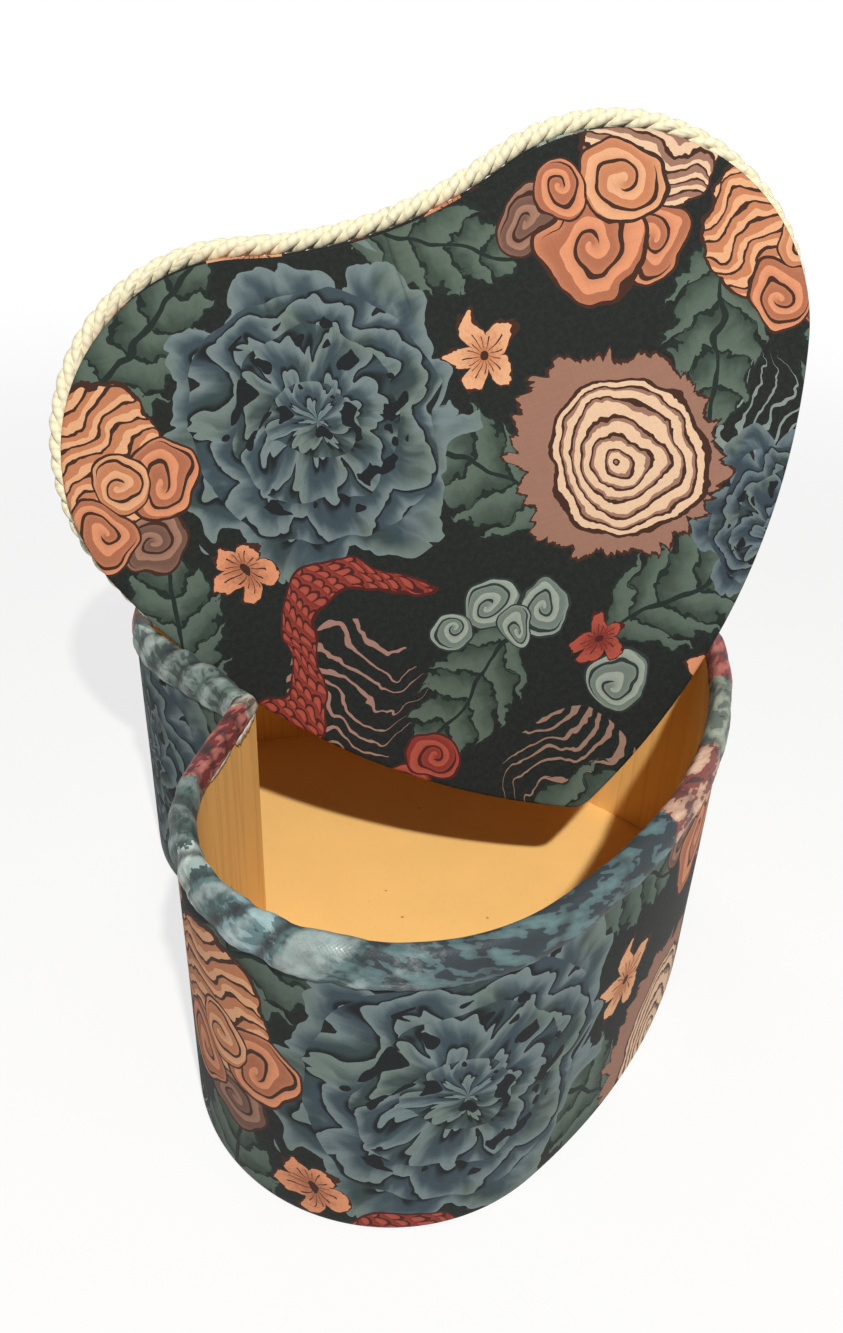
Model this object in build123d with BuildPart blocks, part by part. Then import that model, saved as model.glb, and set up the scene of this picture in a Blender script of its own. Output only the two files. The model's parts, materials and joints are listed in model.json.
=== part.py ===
"""A heart-shaped card box covered in printed cloth, with its loose padded lid.

The lid has been taken off and stands tip down in the open box, wedged between
the far lobe and the near side of the rim, its lined underside to the viewer.

Millimetres, +Z up. The origin is on the underside of the box, midway between
the centres of the two lobes. The heart's cleft lies towards +Y, its tip
towards -Y.
"""

import os
from dataclasses import dataclass
from math import acos, atan2, cos, degrees, hypot, radians, sin, sqrt, tan

from build123d import *

# Box: plan over the cloth, and height
box_height = 64.0
lobe_radius = 37.4
lobe_spread = 37.6  # from the middle to each lobe's centre
side_radius = 135.0
side_turn = 22.8  # degrees below level where a lobe runs into the side
tip_radius = 5.0
cleft_depth = 15.8  # from the tops of the lobes down to the corner

# Box: card and cloth
cloth = 0.5
wall_card_thickness = 2.0
liner_thickness = 0.8
base_thickness = 2.0
floor_thickness = 1.2
card_joint = 0.25  # gap between the ends of a bent strip of card
fit_gap = 0.1  # glue line between the floor card and the liner

# Box: the cloth rolled over the rim
roll_outer_drop = 6.0
roll_inner_drop = 4.0
roll_puff = 0.9  # how far the rolled cloth stands above and beside the card
roll_bevel = 1.5
overrun = 1.0  # of each cut past what it cuts
sinking_steps = 40  # halvings that find how deep the lid stands

# Lid: plan of the lined underside, measured from the box
lid_overhang = 2.4  # on the lobe's radius
lid_lobe_shift = 2.8  # of each lobe's centre
lid_side_ease = 10.0  # added to the side's radius
lid_tip_radius = 6.0
lid_cleft_radius = 95.0

# Lid: card, wadding, cloth and cord
lining_card_thickness = 1.6
lid_card_thickness = 2.0
wadding_edge = 1.0  # thickness at its edge
wadding_crown = 2.0  # and how much higher it is padded inside that
wadding_slope = 65.0  # degrees from upright
turn_in = 12.0  # cloth turned under each card and glued down
lid_card_margin = 2.1  # the top card is this much smaller all round
lid_card_rise = 3.5  # and glued on this far towards the cleft
cord_diameter = 4.4
cord_sides = 8
cord_bite = 0.3  # how far the glued cord lies off the cloth it goes round

# Lid: how it stands in the box
lid_facing = -17.0  # degrees about +Z that its outer face points away from +X
lid_lean = 25.0  # degrees that its top leans back from upright
lid_roll = 20.7  # degrees that its tip swings aside in its own plane
lid_behind_cleft = 19.5  # from the cleft's inner corner to the lined face
lid_rim_ease = 0.3  # clear of the rolled cloth where each edge rests

wall_total = cloth + wall_card_thickness + liner_thickness
floor_top = cloth + base_thickness + floor_thickness


@dataclass
class Heart:
    """A heart plan: lobes, long side arcs, a rounded tip and a cleft."""

    lobe: float
    spread: float
    side: float
    tip: float
    cleft: float = 0.0  # height of a sharp cleft's corner
    cleft_radius: float = 0.0  # or the radius of a soft cleft

    @property
    def side_centre(self):
        reach = self.side - self.lobe
        turn = radians(side_turn)
        return self.spread - reach * cos(turn), reach * sin(turn)

    @property
    def tip_y(self):
        x, y = self.side_centre
        return y - sqrt((self.side - self.tip) ** 2 - x**2)

    def tip_angle(self, inset):
        """Where on the side's arc its tip starts, rounded or drawn in to a point."""
        x, y = self.side_centre
        if inset < self.tip:
            return degrees(atan2(self.tip_y - y, -x))
        return -degrees(acos(-x / (self.side - inset)))

    @property
    def flank_angle(self):
        """Slope of a sharp cleft's straight flank, which is tangent to the lobe."""
        reach = hypot(self.spread, self.cleft)
        along = sqrt(reach**2 - self.lobe**2)
        return degrees(atan2(self.lobe, along) - atan2(self.cleft, self.spread))

    def corner_y(self, inset):
        return self.cleft - inset / cos(radians(self.flank_angle))


def heart_half(plan, inset):
    """The edges of the +X half, from the tip round to the cleft."""
    turn = -side_turn
    start = plan.tip_angle(inset)
    if inset < plan.tip:
        CenterArc((0, plan.tip_y), plan.tip - inset, -90, start + 90)
    CenterArc(plan.side_centre, plan.side - inset, start, turn - start)
    lobe_centre = (plan.spread, 0)
    if plan.cleft_radius:
        cleft_centre_y = sqrt((plan.lobe + plan.cleft_radius) ** 2 - plan.spread**2)
        top = degrees(atan2(cleft_centre_y, -plan.spread))
        CenterArc(lobe_centre, plan.lobe - inset, turn, top - turn)
        below = top - 180
        cleft_radius = plan.cleft_radius + inset
        CenterArc((0, cleft_centre_y), cleft_radius, below, -90 - below)
    else:
        top = 90 + plan.flank_angle
        lobe_edge = CenterArc(lobe_centre, plan.lobe - inset, turn, top - turn)
        Line(lobe_edge @ 1, (0, plan.corner_y(inset)))


def heart(plan, inset=0.0):
    """The heart as a flat sketch, drawn in all round by the inset."""
    with BuildSketch(Plane.XY) as outline:
        with BuildLine():
            heart_half(plan, inset)
            mirror(about=Plane.YZ)
        make_face()
    return outline.sketch


def add_ring(plan, outer, inner):
    """Add the band between two insets to the open sketch."""
    add(heart(plan, outer))
    add(heart(plan, inner), mode=Mode.SUBTRACT)


def add_strip(plan, outer, inner):
    """Add a band of bent card whose two ends meet at the cleft."""
    add_ring(plan, outer, inner)
    corner = plan.corner_y((outer + inner) / 2)
    with Locations((0, corner)):
        Rectangle(card_joint, 4 * (inner - outer), mode=Mode.SUBTRACT)


box_plan = Heart(lobe_radius, lobe_spread, side_radius, tip_radius, cleft=lobe_radius - cleft_depth)
lid_plan = Heart(
    lobe_radius + lid_overhang,
    lobe_spread + lid_lobe_shift,
    side_radius + lid_overhang + lid_side_ease,
    lid_tip_radius,
    cleft_radius=lid_cleft_radius,
)


def finish(builder, name):
    builder.part.label = name
    export_step(builder.part, f"parts/{name}.step")


os.makedirs("parts", exist_ok=True)

# Base: cloth pasted under a heart of thick card, with the inner floor on top
with BuildPart() as base_cloth:
    with BuildSketch(Plane.XY):
        add(heart(box_plan))
    extrude(amount=cloth)
finish(base_cloth, "base_cloth")

with BuildPart() as base_board:
    with BuildSketch(Plane.XY.offset(cloth)):
        add(heart(box_plan, cloth + wall_card_thickness))
    extrude(amount=base_thickness)
finish(base_board, "base_board")

with BuildPart() as floor_card:
    with BuildSketch(Plane.XY.offset(cloth + base_thickness)):
        add(heart(box_plan, cloth + wall_card_thickness))
    extrude(amount=floor_thickness)
finish(floor_card, "floor_card")


# Walls: one strip of card bent round the base, one thinner strip lining it
wall_top = box_height - roll_puff
with BuildPart() as wall_card:
    with BuildSketch(Plane.XY.offset(cloth)):
        add_strip(box_plan, cloth, cloth + wall_card_thickness)
    extrude(amount=wall_top - cloth)
finish(wall_card, "wall_card")

liner_top = box_height - roll_inner_drop
with BuildPart() as liner_card:
    with BuildSketch(Plane.XY.offset(floor_top)):
        add_strip(box_plan, cloth + wall_card_thickness, wall_total)
    extrude(amount=liner_top - floor_top)
finish(liner_card, "liner_card")

roll_bottom = box_height - roll_outer_drop
with BuildPart() as side_cloth:
    with BuildSketch(Plane.XY.offset(cloth)):
        add_ring(box_plan, 0, cloth)
    extrude(amount=roll_bottom - cloth)
finish(side_cloth, "side_cloth")

# Rim: cloth rolled over the top of the walls, puffed out by its folds
with BuildPart() as rim_roll:
    with BuildSketch(Plane.XY.offset(roll_bottom)):
        add_ring(box_plan, -roll_puff, wall_total + roll_puff)
    extrude(amount=roll_outer_drop)
    chamfer(rim_roll.faces().sort_by(Axis.Z)[-1].edges(), roll_bevel)
    with BuildSketch(Plane.XY.offset(roll_bottom)):
        add_ring(box_plan, cloth, cloth + wall_card_thickness)
    extrude(amount=wall_top - roll_bottom, mode=Mode.SUBTRACT)
    with BuildSketch(Plane.XY.offset(roll_bottom)):
        add_ring(box_plan, cloth, wall_total + roll_puff + overrun)
    extrude(amount=liner_top - roll_bottom, mode=Mode.SUBTRACT)
finish(rim_roll, "rim_roll")


facing, lean, roll = radians(lid_facing), radians(lid_lean), radians(lid_roll)
outward = Vector(cos(facing), sin(facing))
level = Vector(-sin(facing), cos(facing))


def lid_half_width(height, side, growth, rise):
    """How far along a level line an edge of the standing lid lies from its middle.

    The line is the given height up the lid. Side is 1 for the edge towards the
    far lobe and -1 for the one by the box's tip. The edge stands out from the
    lined face's outline by its growth and is shifted up the lid by its rise.
    """
    x, y = lid_plan.side_centre
    centre = Vector(x * side, y + rise)
    along = centre.X * cos(roll) + centre.Y * sin(roll)
    across = centre.Y * cos(roll) - centre.X * sin(roll) - height
    return side * along + sqrt((lid_plan.side + growth) ** 2 - across**2)


def rim_chord(start):
    """Where a level line through start meets the near side and the far lobe."""
    inset = wall_total + roll_puff - roll_bevel / 2
    x, y = box_plan.side_centre
    ends = []
    for centre, radius, way in (
        (Vector(-x, y), box_plan.side - inset, -1),
        (Vector(box_plan.spread, 0), box_plan.lobe - inset, 1),
    ):
        off = centre - start
        ends.append(off.dot(level) + way * sqrt(radius**2 - off.dot(outward) ** 2))
    return ends


# Edges of the lid that can meet the rim: depth, growth and rise of each
lining_turn = cloth + lining_card_thickness
top_start = lining_turn + cloth
cord_depth = top_start + cord_diameter / 2 + cord_bite
cord_reach = cord_diameter + cord_bite - lid_card_margin
lid_edges = ((0, 0, 0), (cord_depth, cord_reach, lid_card_rise))


def lid_room(start, height):
    """The least and greatest place along the rim's level line for the lid's middle."""
    least, most = [], []
    for depth, growth, rise in lid_edges:
        near, far = rim_chord(start + outward * (depth / cos(lean)))
        up = height + depth * tan(lean)
        least.append(near + lid_rim_ease + lid_half_width(up, -1, growth, rise))
        most.append(far - lid_rim_ease - lid_half_width(up, 1, growth, rise))
    return max(least), min(most)


def lid_middle():
    """Where the middle of the lined face stands once the lid's edges meet the rim.

    The lined face crosses the rim along a level line behind the cleft. The lid
    sinks until its edges leave no more than their ease at each end of that line.
    """
    corner = Vector(0, box_plan.corner_y(wall_total + roll_puff))
    start = corner + outward * lid_behind_cleft
    low, high = lid_plan.tip_y, 0.0
    for _ in range(sinking_steps):
        height = (low + high) / 2
        least, most = lid_room(start, height)
        if least < most:
            low = height
        else:
            high = height
    at_rim = start + level * ((least + most) / 2)
    uphill = Vector(outward.X * sin(lean), outward.Y * sin(lean), cos(lean))
    return Vector(at_rim.X, at_rim.Y, box_height) - uphill * height


def stand_lid():
    """The plane of the lined face, facing into the lid, with +Y to the cleft."""
    normal = Vector(outward.X * cos(lean), outward.Y * cos(lean), -sin(lean))
    uphill = Vector(outward.X * sin(lean), outward.Y * sin(lean), cos(lean))
    across = level * cos(roll) - uphill * sin(roll)
    return Plane(origin=lid_middle(), x_dir=across, z_dir=normal)


lid_face = stand_lid()
lid_outward = Axis(lid_face.origin, lid_face.z_dir)


def lid_level(depth, rise=0.0):
    """A plane in the lid, the depth in from its lined face, moved up by the rise."""
    origin = lid_face.from_local_coords((0, rise, depth))
    return Plane(origin=origin, x_dir=lid_face.x_dir, z_dir=lid_face.z_dir)


# Lid, lined side: a heart of card with cloth turned over its edge
with BuildPart() as lining_card:
    with BuildSketch(lid_level(cloth)):
        add(heart(lid_plan, cloth))
    extrude(amount=lining_card_thickness)
finish(lining_card, "lining_card")

with BuildPart() as lining_cloth:
    with BuildSketch(lid_level(0)):
        add(heart(lid_plan))
    extrude(amount=lining_turn + cloth)
    add(lining_card.part, mode=Mode.SUBTRACT)
    with BuildSketch(lid_level(lining_turn)):
        add(heart(lid_plan, turn_in))
    extrude(amount=cloth + overrun, mode=Mode.SUBTRACT)
finish(lining_cloth, "lining_cloth")

# Lid, outer side: a second card, padded, with cloth turned over the wadding
card_start = top_start + cloth
wadding_start = card_start + lid_card_thickness
with BuildPart() as lid_card:
    with BuildSketch(lid_level(card_start, lid_card_rise)):
        add(heart(lid_plan, lid_card_margin + cloth))
    extrude(amount=lid_card_thickness)
finish(lid_card, "lid_card")

with BuildPart() as wadding:
    with BuildSketch(lid_level(wadding_start, lid_card_rise)):
        add(heart(lid_plan, lid_card_margin + cloth))
    extrude(amount=wadding_edge)
    extrude(wadding.faces().sort_by(lid_outward)[-1], amount=wadding_crown, taper=wadding_slope)
finish(wadding, "wadding")

with BuildPart() as top_cloth:
    with BuildSketch(lid_level(top_start, lid_card_rise)):
        add(heart(lid_plan, lid_card_margin))
    extrude(amount=2 * cloth + lid_card_thickness + wadding_edge)
    extrude(top_cloth.faces().sort_by(lid_outward)[-1], amount=wadding_crown, taper=wadding_slope)
    add(wadding.part, mode=Mode.SUBTRACT)
    add(lid_card.part, mode=Mode.SUBTRACT)
    with BuildSketch(lid_level(top_start - overrun, lid_card_rise)):
        add(heart(lid_plan, turn_in))
    extrude(amount=cloth + overrun, mode=Mode.SUBTRACT)
finish(top_cloth, "top_cloth")

# Cord: laid in the step between the two cards, all the way round the lid
cord_inset = lid_card_margin - cord_diameter / 2 - cord_bite
cord_level = lid_level(cord_depth, lid_card_rise)
cord_route = cord_level.from_local_coords(heart(lid_plan, cord_inset)).face().outer_wire()
with BuildPart() as cord:
    with BuildSketch(Plane(origin=cord_route @ 0, z_dir=cord_route % 0)):
        RegularPolygon(cord_diameter / 2, cord_sides)
    sweep(path=cord_route)
finish(cord, "cord")
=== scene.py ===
# %% [markdown]
# A heart-shaped card box covered in printed cotton, its padded lid taken off
# and stood tip down in it. The CAD model gives every piece its place and size.
# Here each soft piece is built again as cloth or cord and given its finish.
# We start by loading the CAD model.

# %% Load the CAD model
import json
import random
from math import atan2, ceil, cos, degrees, exp, hypot, pi, radians, sin, sqrt

import bmesh
import bpy
import numpy as np
from mathutils import Matrix, Vector, noise


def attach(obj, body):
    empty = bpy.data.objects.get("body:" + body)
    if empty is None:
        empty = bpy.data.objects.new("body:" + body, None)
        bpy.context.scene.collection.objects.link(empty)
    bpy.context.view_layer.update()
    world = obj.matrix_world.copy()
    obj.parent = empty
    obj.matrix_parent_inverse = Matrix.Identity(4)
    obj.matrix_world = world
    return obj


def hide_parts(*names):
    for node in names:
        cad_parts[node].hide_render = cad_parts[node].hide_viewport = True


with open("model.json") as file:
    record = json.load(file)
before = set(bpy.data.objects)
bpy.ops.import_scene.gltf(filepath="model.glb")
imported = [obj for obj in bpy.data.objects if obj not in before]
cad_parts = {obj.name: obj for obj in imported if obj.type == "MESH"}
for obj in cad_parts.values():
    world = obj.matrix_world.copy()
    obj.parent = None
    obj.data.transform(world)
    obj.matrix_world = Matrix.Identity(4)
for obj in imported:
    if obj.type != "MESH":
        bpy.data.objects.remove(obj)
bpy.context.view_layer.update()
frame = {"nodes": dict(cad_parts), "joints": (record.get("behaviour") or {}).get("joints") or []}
nodes = frame["nodes"]
MM = 0.001
CLOTH, LINING, BASE_CLOTH, PAPER = 0.3, 0.28, 0.2, 0.12  # how thick each is, in millimetres
print("CAD pieces:", ", ".join(sorted(nodes)))


# %% [markdown]
# Both hearts are drawn from arcs: two lobes, two long sides and a small tip.
# The box has a sharp cleft with straight flanks, the lid a soft one. A mesh
# could be cut out of a grid, but cloth follows an edge, so one vertex is spun
# round each arc's centre in turn. Every outline starts and ends at the cleft,
# where the real strip of cloth has its two ends, and the same number of steps
# at any inset lets neighbouring outlines be bridged face by face.

# %% The heart outlines
class Heart:
    """A heart plan in millimetres, with the same arcs as the CAD model's."""

    side_turn = 22.8  # degrees that each lobe turns past level before its long side begins

    def __init__(self, lobe, spread, side, tip, cleft=0.0, cleft_radius=0.0):
        self.lobe, self.spread, self.side, self.tip = lobe, spread, side, tip
        self.cleft, self.cleft_radius = cleft, cleft_radius
        reach, turn = side - lobe, radians(self.side_turn)
        self.side_x, self.side_y = spread - reach * cos(turn), reach * sin(turn)
        self.tip_y = self.side_y - sqrt((side - tip) ** 2 - self.side_x**2)
        self.tip_angle = degrees(atan2(self.tip_y - self.side_y, -self.side_x))
        if cleft_radius:
            self.soft_y = sqrt((lobe + cleft_radius) ** 2 - spread**2)
            self.top = degrees(atan2(self.soft_y, -spread))
        else:
            along = sqrt(spread**2 + cleft**2 - lobe**2)
            self.flank = atan2(lobe, along) - atan2(cleft, spread)
            self.top = 90 + degrees(self.flank)

    def arcs(self):
        """(centre x, centre y, radius, turn) from cleft to cleft."""
        turn, top, start = self.side_turn, self.top, self.tip_angle
        half = [
            (-self.spread, 0, self.lobe, turn + top),
            (-self.side_x, self.side_y, self.side, -start - turn),
        ]
        if self.cleft_radius:
            half.insert(0, (0, self.soft_y, self.cleft_radius, 90 - top))
        tip = (0, self.tip_y, self.tip, 180 + 2 * start)
        return half + [tip] + [(-x, *others) for x, *others in reversed(half)]

    def cleft_point(self, inset):
        """Where the outline begins and ends."""
        if self.cleft_radius:
            return Vector((0, self.soft_y - self.cleft_radius - inset, 0))
        return Vector((0, self.cleft - inset / cos(self.flank), 0))

    def lobe_point(self, inset):
        """Where the straight flank of a sharp cleft meets the left lobe."""
        angle, reach = radians(180 - self.top), self.lobe - inset
        return Vector((-self.spread + reach * cos(angle), reach * sin(angle), 0))


def drag(bm, vert, places):
    """Pull a chain of new vertices out of one, through the places."""
    chain = [vert]
    for place in places:
        chain += bmesh.ops.extrude_vert_indiv(bm, verts=chain[-1:])["verts"]
        chain[-1].co = place
    return chain


def trace(bm, plan, inset, height, spacing):
    """Draw one outline into the bmesh and return its vertices in order."""
    first, end = len(bm.verts), plan.cleft_point(inset)
    vert = bm.verts.new(end)
    steps = ceil(plan.lobe * 0.6 / spacing) if plan.cleft else 0  # along each straight flank
    flank = [end.lerp(plan.lobe_point(inset), (k + 1) / steps) for k in range(steps)]
    vert = drag(bm, vert, flank)[-1]
    for x, y, radius, turn in plan.arcs():
        made = bmesh.ops.spin(
            bm, geom=[vert], cent=(x, y, 0), axis=(0, 0, 1), angle=radians(turn),
            steps=max(4, ceil(abs(radians(turn)) * radius / spacing)), use_duplicate=False,
        )["geom_last"]
        vert = next(v for v in made if isinstance(v, bmesh.types.BMVert))
    last = vert.co.copy()
    drag(bm, vert, [last.lerp(end, (k + 1) / steps) for k in range(steps)])
    bm.verts.ensure_lookup_table()
    chain = bm.verts[first:]
    bmesh.ops.translate(bm, verts=chain, vec=(0, 0, height))
    return chain


def outline_places(plan, inset, height, spacing):
    """Where an outline's vertices lie, drawn in a bmesh of its own."""
    trial = bmesh.new()
    places = [v.co.copy() for v in trace(trial, plan, inset, height, spacing)]
    trial.free()
    return places


def way_round(plan, spacing):
    """How far along the outline each of its vertices lies."""
    places = outline_places(plan, 0, 0, spacing)
    return [0.0] + list(np.cumsum([(b - a).length for a, b in zip(places, places[1:])]))


box_plan = Heart(lobe=37.4, spread=37.6, side=135.0, tip=5.0, cleft=21.6)
lid_plan = Heart(lobe=39.8, spread=40.4, side=147.4, tip=6.0, cleft_radius=95.0)
for label, plan in (("box", box_plan), ("lid", lid_plan)):
    print(label, "outline:", round(way_round(plan, 1.0)[-1], 1), "mm")


# %% [markdown]
# Each cloth piece is a skin: outlines at chosen insets and heights, bridged
# one to the next, as if the flat cut were wrapped over the card. Every vertex
# keeps where it lies on the flat cloth, in millimetres, in an attribute called
# cloth, so the print and the weave follow the surface round every fold.

# %% Bridging outlines into a skin
def new_cloth():
    """An empty bmesh whose vertices know their place on the flat cloth, and how
    high they stand on a fold."""
    bm = bmesh.new()
    bm.verts.layers.float_vector.new("cloth")
    bm.verts.layers.float.new("fold")
    return bm


def edges_along(row):
    """The edges that join the row's vertices, in order."""
    kept = set(row)
    touched = dict.fromkeys(e for v in row for e in v.link_edges)
    return [e for e in touched if kept.issuperset(e.verts)]


def pull_row(bm, row, places):
    """Extrude a row of vertices into the next row, which lies at the places."""
    made = bmesh.ops.extrude_edge_only(bm, edges=edges_along(row))["geom"]
    fresh = {v for v in made if isinstance(v, bmesh.types.BMVert)}
    neighbours = [[e.other_vert(v) for e in v.link_edges] for v in row]
    across = [next(v for v in near if v in fresh) for near in neighbours]
    for vert, place in zip(across, places):
        vert.co = place
    return across


def rows_of(bm, plan, profile, spacing):
    """A skin through the outlines of a profile of (inset, height) points."""
    rows = [trace(bm, plan, *profile[0], spacing)]
    for inset, height in profile[1:]:
        rows.append(pull_row(bm, rows[-1], outline_places(plan, inset, height, spacing)))
    return rows


def mark_cloth(bm, rows, places):
    """Store each vertex's place on the flat cloth."""
    layer = bm.verts.layers.float_vector["cloth"]
    for row, row_places in zip(rows, places):
        for vert, place in zip(row, row_places):
            vert[layer] = Vector((place[0], place[1], 0))


def add_object(name, data):
    made = bpy.data.objects.new(name, data)
    bpy.context.scene.collection.objects.link(made)
    return made


def piece_from(bm, name, material=None, outwards=True):
    """Turn a bmesh in millimetres into an object whose place is in its mesh."""
    bmesh.ops.recalc_face_normals(bm, faces=bm.faces[:])
    corners = np.array([v.co for v in bm.verts])
    inside = Vector((corners.min(0) + corners.max(0)) / 2)
    away = sum(f.normal.dot(f.calc_center_median() - inside) * f.calc_area() for f in bm.faces)
    if outwards and away < 0:
        bmesh.ops.reverse_faces(bm, faces=bm.faces[:])
    for face in bm.faces:
        face.smooth = True
    bmesh.ops.scale(bm, vec=(MM, MM, MM), verts=bm.verts[:])
    mesh = bpy.data.meshes.new(name)
    bm.to_mesh(mesh)
    bm.free()
    if material:
        mesh.materials.append(material)
    print(f"{name}: {len(mesh.polygons)} faces")
    return add_object(name, mesh)


def thicken(piece, thickness, smooth=0):
    """Give a skin the cloth's thickness, inwards, and optionally subdivide it."""
    wall = piece.modifiers.new("thickness", "SOLIDIFY")
    wall.thickness = thickness * MM
    wall.offset = -1
    if smooth:
        finer = piece.modifiers.new("smooth", "SUBSURF")
        finer.levels = finer.render_levels = smooth


def cloth_area(piece):
    return sum(p.area for p in piece.data.polygons)


# %% [markdown]
# Node trees are easier to read as sums than as boxes and wires. Here a node's
# output can be used like a number: each sign or call on it adds one Math node
# and wires it, so that colours and masks are written as arithmetic. A product
# of two masks is where both hold, and | is where either does.

# %% Nodes written as arithmetic
def paint(red, green, blue):
    """A colour given as on a screen, 0 to 255, as the linear one that nodes use."""
    shares = [value / 255 for value in (red, green, blue)]
    linear = [x / 12.92 if x <= 0.04045 else ((x + 0.055) / 1.055) ** 2.4 for x in shares]
    return (*linear, 1.0)


class Wire:
    """The output of a node."""

    def __init__(self, wiring, socket):
        self.wiring, self.socket = wiring, socket

    def __rsub__(self, other):
        return self.wiring.math("SUBTRACT", other, self)


def sign(operation):
    return lambda wire, *others: wire.wiring.math(operation, wire, *others)


for method, operation in {
    "__add__": "ADD", "__radd__": "ADD", "__sub__": "SUBTRACT", "__mul__": "MULTIPLY",
    "__mod__": "FLOORED_MODULO", "__pow__": "POWER", "__lt__": "LESS_THAN",
    "__gt__": "GREATER_THAN", "__or__": "MAXIMUM", "__abs__": "ABSOLUTE", "floor": "FLOOR",
    "fraction": "FRACT", "sine": "SINE", "cosine": "COSINE",
}.items():
    setattr(Wire, method, sign(operation))


class Wiring:
    """Adds nodes to one tree and wires them."""

    def __init__(self, tree):
        self.tree = tree

    def put(self, socket, value):
        if isinstance(value, Wire):
            self.tree.links.new(value.socket, socket)
        else:
            socket.default_value = value

    def node(self, kind, values=(), output=0, **settings):
        """Add a node, fill its inputs by place or by name, and return one output."""
        made = self.tree.nodes.new("ShaderNode" + kind)
        for name, value in settings.items():
            setattr(made, name, value)
        for key, value in values.items() if isinstance(values, dict) else enumerate(values):
            self.put(made.inputs[key], value)
        return Wire(self, made.outputs[output])

    def outputs(self, wire):
        """Every output of the wire's node, by name."""
        return {socket.name: Wire(self, socket) for socket in wire.socket.node.outputs}

    def math(self, operation, *values):
        return self.node("Math", values, operation=operation)

    def vector(self, operation, *values):
        if operation == "SCALE":
            values = {0: values[0], "Scale": values[1]}
        output = "Value" if operation == "LENGTH" else "Vector"
        return self.node("VectorMath", values, output, operation=operation)

    def split(self, vector):
        return self.outputs(self.node("SeparateXYZ", [vector])).values()

    def join(self, *numbers):
        return self.node("CombineXYZ", numbers)

    def mix(self, share, base, over):
        return self.node("Mix", {0: share, 6: base, 7: over}, 2, data_type="RGBA")

    def fade(self, *value_and_limits):
        """A smooth step, 0 to 1 or as given, as the value passes from low to high."""
        return self.node("MapRange", value_and_limits, interpolation_type="SMOOTHSTEP")

    def noise(self, place, scale, detail=2.0, rough=0.5, output="Fac"):
        values = {"Vector": place, "Scale": scale, "Detail": detail, "Roughness": rough}
        return self.node("TexNoise", values, output, noise_dimensions="3D")

    def attribute(self, name, output="Vector"):
        return self.node("Attribute", (), output, attribute_type="GEOMETRY", attribute_name=name)

    def use(self, group, **values):
        """Place a node group and return its outputs by name."""
        return self.outputs(self.node("Group", values, node_tree=bpy.data.node_groups[group]))


class Group(Wiring):
    """A node group. Its inputs are in given, and give() fills its outputs, which
    are numbers unless they are called Color or Local."""

    def __init__(self, name, inputs, outputs):
        super().__init__(bpy.data.node_groups.new(name, "ShaderNodeTree"))
        new_socket = self.tree.interface.new_socket
        for label, value in inputs.items():
            kind = "Float" if isinstance(value, float) else {3: "Vector", 4: "Color"}[len(value)]
            socket = new_socket(label, in_out="INPUT", socket_type="NodeSocket" + kind)
            socket.default_value = value
        for label in outputs:
            kind = {"Color": "Color", "Local": "Vector"}.get(label, "Float")
            new_socket(label, in_out="OUTPUT", socket_type="NodeSocket" + kind)
        sockets = self.tree.nodes.new("NodeGroupInput").outputs
        self.given = [Wire(self, socket) for socket in sockets][:len(inputs)]
        self.results = self.tree.nodes.new("NodeGroupOutput").inputs

    def give(self, **values):
        for name, value in values.items():
            self.put(self.results[name], value)


class Finish(Wiring):
    """A material with a Principled BSDF."""

    def __init__(self, name):
        self.material = bpy.data.materials.new(name)
        self.material.use_nodes = True
        super().__init__(self.material.node_tree)
        self.shader = self.tree.nodes["Principled BSDF"]
        print("finish:", name)

    def surface(self, values, height=0.0, strength=0.0, distance=0.0):
        """Fill the shader's sockets by name, and raise its surface by a height."""
        if strength:
            raised = {"Strength": strength, "Distance": distance, "Height": height}
            values["Normal"] = self.node("Bump", raised)
        for name, value in values.items():
            self.put(self.shader.inputs[name], value)


ORIGIN, GREY = (0, 0, 0), (0.5, 0.5, 0.5, 1)

# %% [markdown]
# The cloth is a cotton printed with traditional ornament on a near-black
# ground: curled clouds, peonies, ragged leaves, a round wave fan and a scaled
# ribbon. Each kind of ornament is a node group that draws it once, in a circle
# of radius 1, from a distance and an angle. Placing it is one shared group:
# it wraps the distance to the ornament's centre round the width of the repeat,
# so that the print goes on for ever without a cut edge.

# %% Placing an ornament in the repeat
REPEAT = (150.0, 128.0)

PLACE = {"Cloth": ORIGIN, "Centre": ORIGIN, "Turn": 0.0, "Size": 10.0}
w = Group("place_ornament", PLACE, ("Local", "X", "Y", "Radius", "Angle"))
cloth, centre, turn, size = w.given
half = (REPEAT[0] / 2, REPEAT[1] / 2, 500.0)
offset = w.vector("WRAP", w.vector("SUBTRACT", cloth, centre), half, tuple(-x for x in half))
turned = w.node("VectorRotate", {"Vector": offset, "Angle": turn * -1.0}, rotation_type="Z_AXIS")
local = w.vector("SCALE", turned, w.math("DIVIDE", 1.0, size))
x, y, _ = w.split(local)
radius = w.vector("LENGTH", w.join(x, y))
w.give(Local=local, X=x, Y=y, Radius=radius, Angle=w.math("ARCTAN2", y, x))


class Ornament(Group):
    """Paints one ornament over the colour given as Under."""

    def __init__(self, name):
        colours = {"Under": GREY, "Light": GREY, "Dark": GREY, "Line": GREY}
        super().__init__(name, {**colours, **PLACE}, ["Color"])
        self.under, self.light, self.dark, self.line, *place = self.given
        at = self.use("place_ornament", **dict(zip(PLACE, place)))
        self.local, self.x, self.y, self.radius, self.angle = at.values()

    def shade(self, share):
        return self.mix(share, self.dark, self.light)

    def lay(self, inside, body, lines=0.0):
        """Paint the body where inside holds, and the line's colour over it."""
        self.give(Color=self.mix(inside, self.under, self.mix(lines, body, self.line)))
        print("ornament:", self.tree.name)


print("the print repeats every", REPEAT, "mm")


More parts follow.
